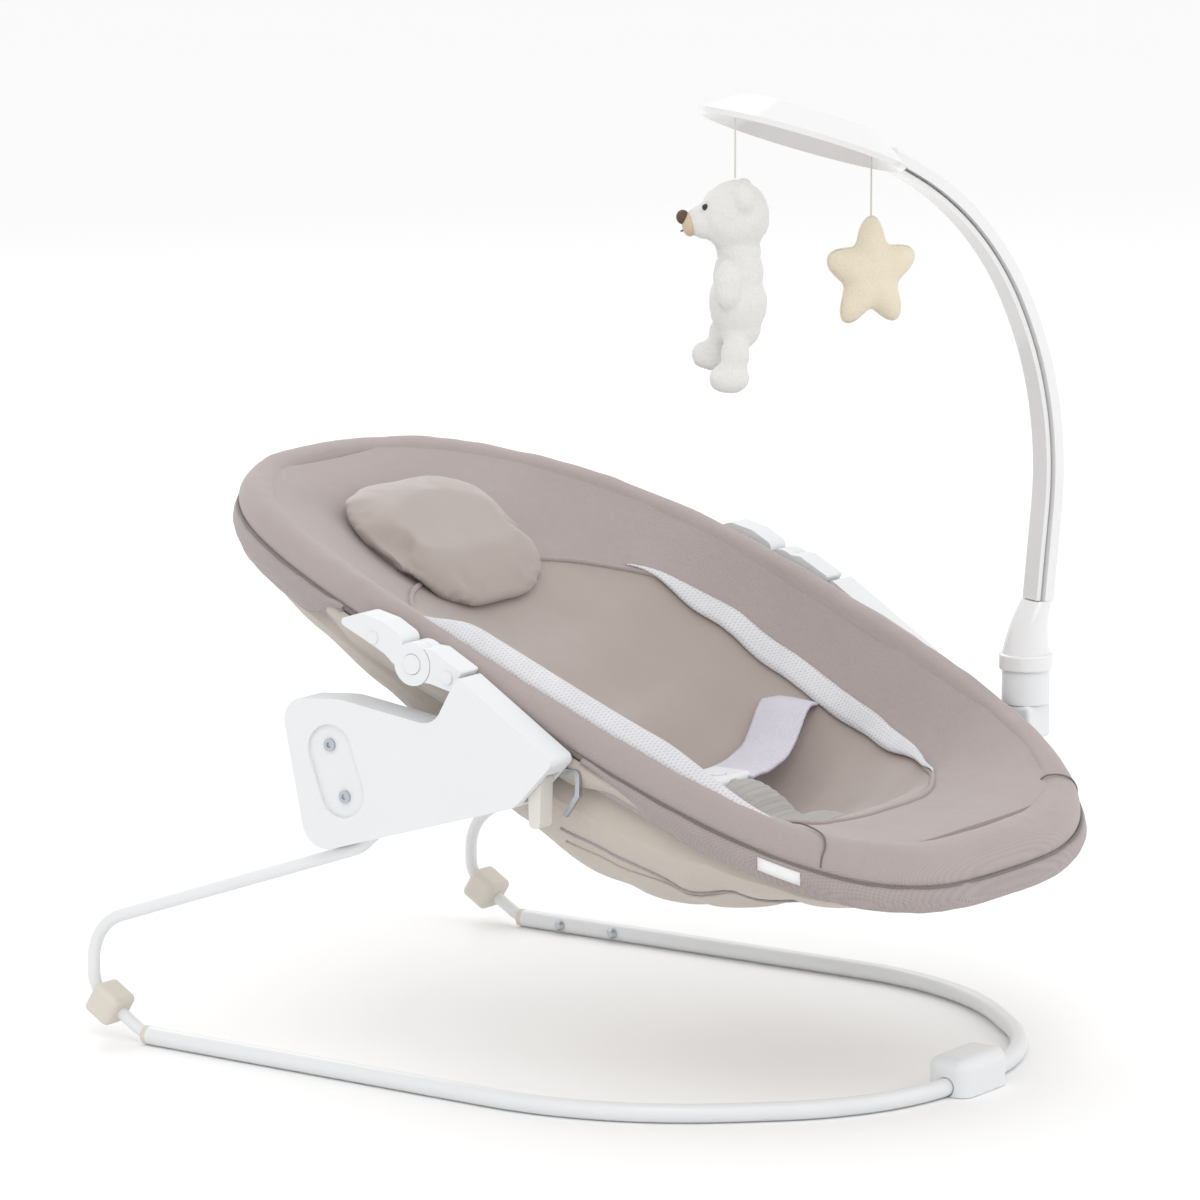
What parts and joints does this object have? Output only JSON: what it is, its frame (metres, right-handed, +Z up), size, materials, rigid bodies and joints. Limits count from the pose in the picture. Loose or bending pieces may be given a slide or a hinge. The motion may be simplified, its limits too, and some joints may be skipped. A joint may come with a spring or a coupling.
{
  "type": "baby bouncer seat",
  "caption": "Infant bouncer seat: reclining fabric sling on side arms, carried by bent spring wires on a tubular floor loop, with a swivelling toy bar and hanging plush toys.",
  "frame": {"origin": "on the floor under the middle of the object", "axes": "+Z up, +Y towards the head end, +X towards the side that carries the toy bar"},
  "size_m": [0.4914, 0.6265, 0.678],
  "materials": {
    "white_metal": "satin white powder coat",
    "white_plastic": "white moulded plastic, fine satin",
    "toy_bar_plastic": "glossy white moulded plastic",
    "rubber": "matte beige-white rubber",
    "tab_plastic": "matte off-white",
    "steel": "zinc plated",
    "rivet": "white painted rivet",
    "cover_fabric": "taupe woven",
    "beige_fabric": "beige plain weave",
    "liner_fabric": "smooth beige-grey",
    "pad_fabric": "grey ribbed",
    "webbing": "open lilac-white webbing",
    "plush_white": "short white plush",
    "string": "thin twisted cord",
    "plush_cream": "short cream plush"
  },
  "bodies": {
    "base": {"base_tube_left": "white_metal", "base_tube_right": "white_metal", "spring_wire_left": "white_metal", "spring_wire_right": "white_metal", "rear_bumper_left": "rubber", "rear_bumper_right": "rubber", "tube_plug_left": "rubber", "tube_plug_right": "rubber", "base_screws": "steel", "front_foot": "white_plastic"},
    "carriage": {"arm_inner_shell_left": "white_plastic", "arm_inner_shell_right": "white_plastic", "arm_outer_shell_left": "white_plastic", "arm_outer_shell_right": "white_plastic", "arm_screws_left": "steel", "arm_screws_right": "steel", "buckle_housing": "white_plastic", "cross_bar": "white_metal", "crotch_pad": "pad_fabric", "hinge_lower_left": "white_plastic", "hinge_lower_right": "white_plastic", "hinge_pin_left": "steel", "hinge_pin_right": "steel", "latch_plate_left": "steel", "latch_plate_right": "steel", "lower_rivet_left": "rivet", "lower_rivet_right": "rivet", "seat_cover": "cover_fabric", "seat_liner": "liner_fabric", "seat_tube": "white_metal", "toy_bar_bolt": "steel", "toy_bar_bracket": "white_plastic", "toy_bar_socket": "white_plastic", "underseat_sling": "beige_fabric", "waist_strap_left": "webbing", "waist_strap_right": "webbing", "wire_clamp_left": "steel", "wire_clamp_right": "steel"},
    "backrest": {"backrest_tube": "white_metal", "hinge_upper_left": "white_plastic", "hinge_upper_right": "white_plastic", "upper_rivet_left": "rivet", "upper_rivet_right": "rivet", "backrest_cover": "cover_fabric", "head_cushion": "liner_fabric"},
    "recline_button_left": {"recline_button_left": "white_plastic"},
    "recline_button_right": {"recline_button_right": "white_plastic"},
    "latch_tab_left": {"latch_tab_left": "tab_plastic"},
    "latch_tab_right": {"latch_tab_right": "tab_plastic"},
    "buckle_button": {"buckle_button": "white_plastic"},
    "toy_bar": {"toy_bar_collar": "white_plastic", "toy_bar_adapter": "toy_bar_plastic", "toy_ring": "toy_bar_plastic", "toy_bar_arch": "toy_bar_plastic", "toy_bar_channel": "toy_bar_plastic"},
    "bear": {"bear": "plush_white", "bear_string": "string"},
    "star": {"star": "plush_cream", "star_string": "string"}
  },
  "joints": [
    {"name": "bounce", "type": "hinge", "parent": "base", "child": "carriage", "pos_m": [0, 0.279, 0.058], "axis": [1, 0, 0], "range_deg": [-3, 8], "stiffness_Nm_per_rad": 110, "springref_deg": -5.3, "deforming": ["spring_wire_left", "spring_wire_right"]},
    {"name": "recline", "type": "hinge", "parent": "carriage", "child": "backrest", "pos_m": [0, 0.0226, 0.302], "axis": [1, 0, 0], "range_deg": [0, 32]},
    {"name": "toy_bar_swivel", "type": "hinge", "parent": "carriage", "child": "toy_bar", "pos_m": [0.222, -0.186, 0.256], "axis": [0, 0, 1], "range_deg": [-60, 120]},
    {"name": "bear_swing", "type": "hinge", "parent": "toy_bar", "child": "bear", "pos_m": [-0.026, -0.1, 0.664], "axis": [0.8181, 0.5751, 0], "range_deg": [-25, 25]},
    {"name": "star_swing", "type": "hinge", "parent": "toy_bar", "child": "star", "pos_m": [0.0945, -0.1335, 0.629], "axis": [-0.6222, 0.7828, 0], "range_deg": [-25, 25]},
    {"name": "buckle_release", "type": "slide", "parent": "carriage", "child": "buckle_button", "axis": [0, 0, -1], "range_m": [0, 0.003], "stiffness_N_per_m": 300, "springref_m": -0.001},
    {"name": "recline_press_left", "type": "slide", "parent": "backrest", "child": "recline_button_left", "axis": [1, 0, 0], "range_m": [0, 0.0025], "stiffness_N_per_m": 400, "springref_m": -0.001},
    {"name": "latch_release_left", "type": "hinge", "parent": "carriage", "child": "latch_tab_left", "pos_m": [-0.229, -0.08, 0.232], "axis": [1, 0, 0], "range_deg": [-20, 0], "stiffness_Nm_per_rad": 0.05},
    {"name": "recline_press_right", "type": "slide", "parent": "backrest", "child": "recline_button_right", "axis": [-1, 0, 0], "range_m": [0, 0.0025], "stiffness_N_per_m": 400, "springref_m": -0.001},
    {"name": "latch_release_right", "type": "hinge", "parent": "carriage", "child": "latch_tab_right", "pos_m": [0.229, -0.08, 0.232], "axis": [1, 0, 0], "range_deg": [-20, 0], "stiffness_Nm_per_rad": 0.05}
  ]
}
